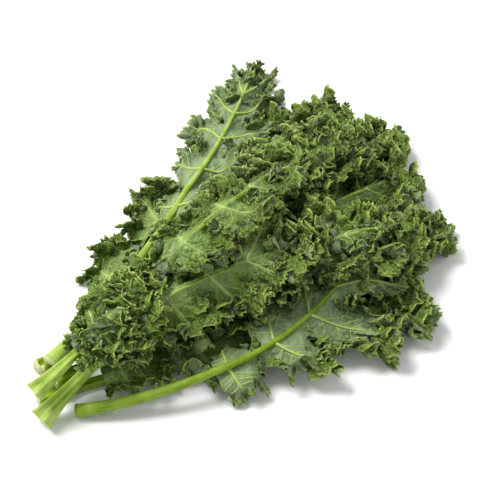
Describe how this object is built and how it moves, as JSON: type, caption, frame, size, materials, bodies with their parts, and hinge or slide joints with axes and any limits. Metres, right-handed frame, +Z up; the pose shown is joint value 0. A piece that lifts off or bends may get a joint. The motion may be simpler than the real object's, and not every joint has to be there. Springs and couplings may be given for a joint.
{
  "type": "kale bunch",
  "caption": "Bunch of curly kale lying on a surface: cut leaves heaped together, pale stalks gathered at one end and frilled lobed blades fanned out at the other.",
  "frame": {"origin": "under the middle of the bunch's bounding box, on the surface that it lies on", "axes": "+X from the cut ends of the stalks to the leaf tips, +Y across the bunch, +Z up from the surface"},
  "size_m": [0.4606, 0.3738, 0.1032],
  "materials": {
    "stalk": "smooth pale green fleshy stalk, satin",
    "leaf_upper_side": "fresh green leaf, satin, pale rim",
    "leaf_underside": "grey-green waxy leaf underside, matt, pale veins"
  },
  "bodies": {
    "root": {"leaf_01_stalk": "stalk", "leaf_01_blade": "leaf_upper_side", "leaf_02_stalk": "stalk", "leaf_02_blade": "leaf_upper_side", "leaf_03_stalk": "stalk", "leaf_03_blade": "leaf_upper_side", "leaf_04_stalk": "stalk", "leaf_04_blade": "leaf_upper_side", "leaf_05_stalk": "stalk", "leaf_05_blade": "leaf_underside", "leaf_06_stalk": "stalk", "leaf_06_blade": "leaf_upper_side", "leaf_07_stalk": "stalk", "leaf_07_blade": "leaf_upper_side", "leaf_08_stalk": "stalk", "leaf_08_blade": "leaf_underside", "leaf_09_stalk": "stalk", "leaf_09_blade": "leaf_upper_side", "leaf_10_stalk": "stalk", "leaf_10_blade": "leaf_upper_side", "leaf_11_stalk": "stalk", "leaf_11_blade": "leaf_upper_side", "leaf_12_stalk": "stalk", "leaf_12_blade": "leaf_upper_side", "leaf_13_stalk": "stalk", "leaf_13_blade": "leaf_upper_side"}
  },
  "joints": []
}
